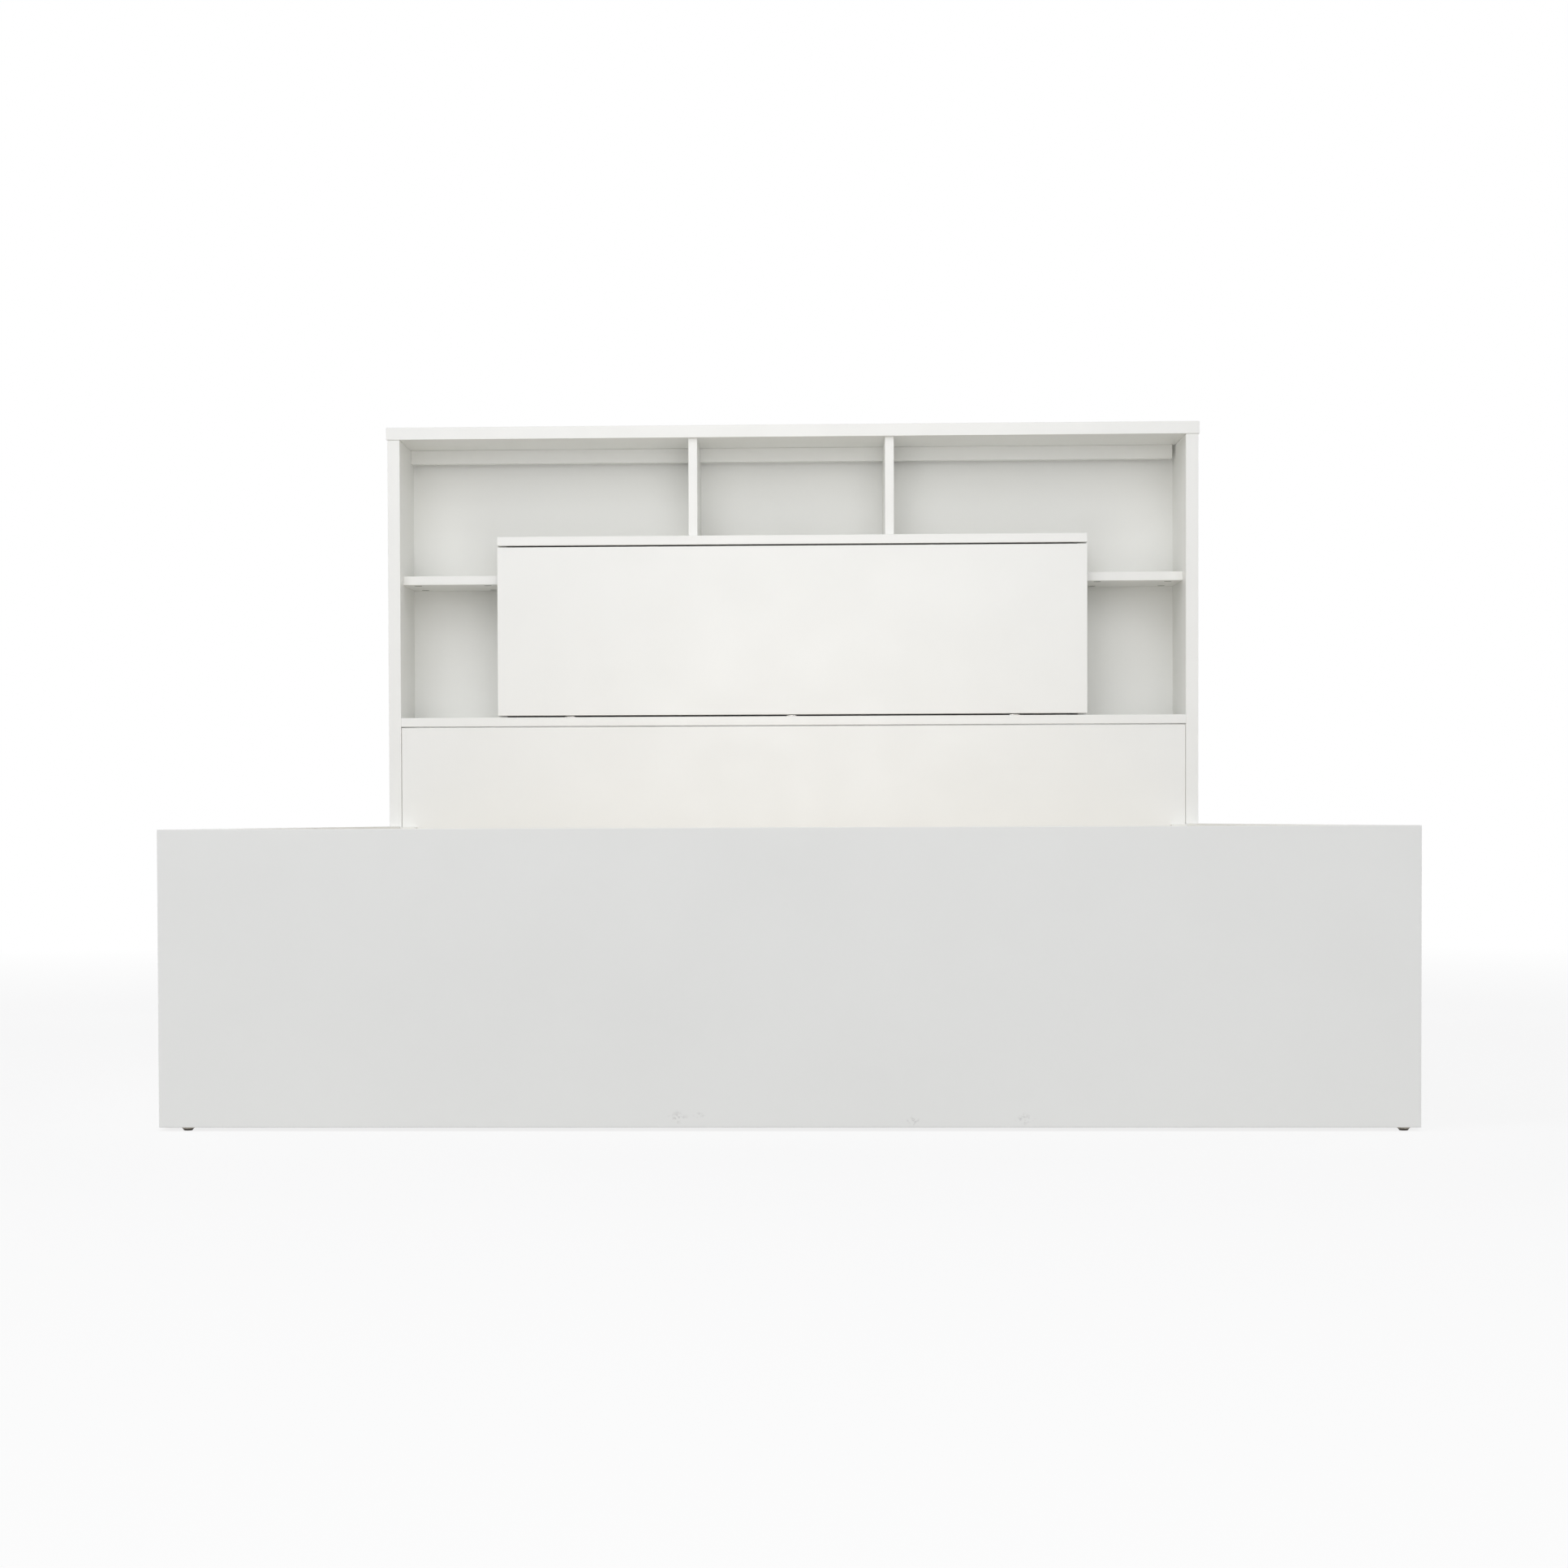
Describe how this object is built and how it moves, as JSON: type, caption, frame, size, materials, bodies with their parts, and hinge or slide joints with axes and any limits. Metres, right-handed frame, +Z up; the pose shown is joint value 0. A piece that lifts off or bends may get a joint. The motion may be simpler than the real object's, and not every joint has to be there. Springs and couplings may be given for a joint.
{
  "type": "bookcase headboard bed",
  "caption": "Low panel bed with slats and a deep bookcase headboard: open niches, side shelves and a cabinet behind a drop-down flap.",
  "frame": {"origin": "on the floor, at the middle of the bed's outline", "axes": "+X to the right seen from the foot, +Y from the foot to the headboard, +Z up"},
  "size_m": [1.454, 2.24, 1.065],
  "materials": {
    "white_board": "particle board in smooth white foil, satin, with slightly rounded edges",
    "back_board": "thin hardboard, white foil inside, plain brown board outside",
    "slat_wood": "planed pale softwood, unfinished",
    "frame_wood": "planed pale softwood, unfinished",
    "dowel_wood": "beech, unfinished",
    "strap_webbing": "woven polyester tape, off white",
    "cast_zinc": "bare die-cast zinc, dull grey",
    "plated_steel": "zinc-plated steel",
    "hinge_steel": "nickel-plated pressed steel",
    "latch_plastic": "moulded grey-white plastic, matte",
    "plunger_plastic": "moulded plastic, matte",
    "bumper_rubber": "soft clear-grey rubber",
    "glide_plastic": "cream plastic cap over a dark worn sole"
  },
  "bodies": {
    "bed": {"beam_hangers": "plated_steel", "cabinet_side_left": "white_board", "cabinet_side_right": "white_board", "cabinet_top": "white_board", "carcass_dowels": "dowel_wood", "centre_beam": "frame_wood", "centre_leg_1": "frame_wood", "centre_leg_2": "frame_wood", "corner_block_foot_left": "white_board", "corner_block_foot_right": "white_board", "corner_block_head_left": "white_board", "corner_block_head_right": "white_board", "corner_bolts": "plated_steel", "fitting_screws": "plated_steel", "flap_bumpers": "bumper_rubber", "flap_hinge_arms": "hinge_steel", "floor_glides": "glide_plastic", "foot_board": "white_board", "frame_screws": "plated_steel", "head_back_panel": "back_board", "head_floor_shelf": "white_board", "head_front_panel": "white_board", "head_rear_rail": "white_board", "head_rear_stretcher": "white_board", "head_side_left": "white_board", "head_side_right": "white_board", "head_top": "white_board", "niche_divider_left": "white_board", "niche_divider_right": "white_board", "push_latch_left": "latch_plastic", "push_latch_right": "latch_plastic", "shelf_cam_bolts": "plated_steel", "shelf_cam_locks": "cast_zinc", "side_rail_left": "white_board", "side_rail_right": "white_board", "side_shelf_left": "white_board", "side_shelf_right": "white_board", "slat_01": "slat_wood", "slat_02": "slat_wood", "slat_03": "slat_wood", "slat_04": "slat_wood", "slat_05": "slat_wood", "slat_06": "slat_wood", "slat_07": "slat_wood", "slat_08": "slat_wood", "slat_09": "slat_wood", "slat_10": "slat_wood", "slat_11": "slat_wood", "slat_12": "slat_wood", "slat_cleat_left": "frame_wood", "slat_cleat_right": "frame_wood", "slat_strap_left": "strap_webbing", "slat_strap_right": "strap_webbing"},
    "flap": {"cabinet_flap": "white_board", "flap_hinge_cups": "hinge_steel", "flap_hinge_pins": "hinge_steel", "hinge_cup_screws": "plated_steel", "latch_strike_plates": "plated_steel"},
    "plunger_left": {"latch_plunger_left": "plunger_plastic"},
    "plunger_right": {"latch_plunger_right": "plunger_plastic"}
  },
  "joints": [
    {"name": "flap_hinge", "type": "hinge", "parent": "bed", "child": "flap", "pos_m": [0, 0.9175, 0.556], "axis": [1, 0, 0], "range_deg": [0, 90]},
    {"name": "plunger_left_slide", "type": "slide", "parent": "bed", "child": "plunger_left", "axis": [0, -1, 0], "range_m": [0, 0.004]},
    {"name": "plunger_right_slide", "type": "slide", "parent": "bed", "child": "plunger_right", "axis": [0, -1, 0], "range_m": [0, 0.004]}
  ],
  "couplings": [
    {"joint": "plunger_left_slide", "follows": "flap_hinge", "m_per_rad": 0.0025},
    {"joint": "plunger_right_slide", "follows": "flap_hinge", "m_per_rad": 0.0025}
  ]
}
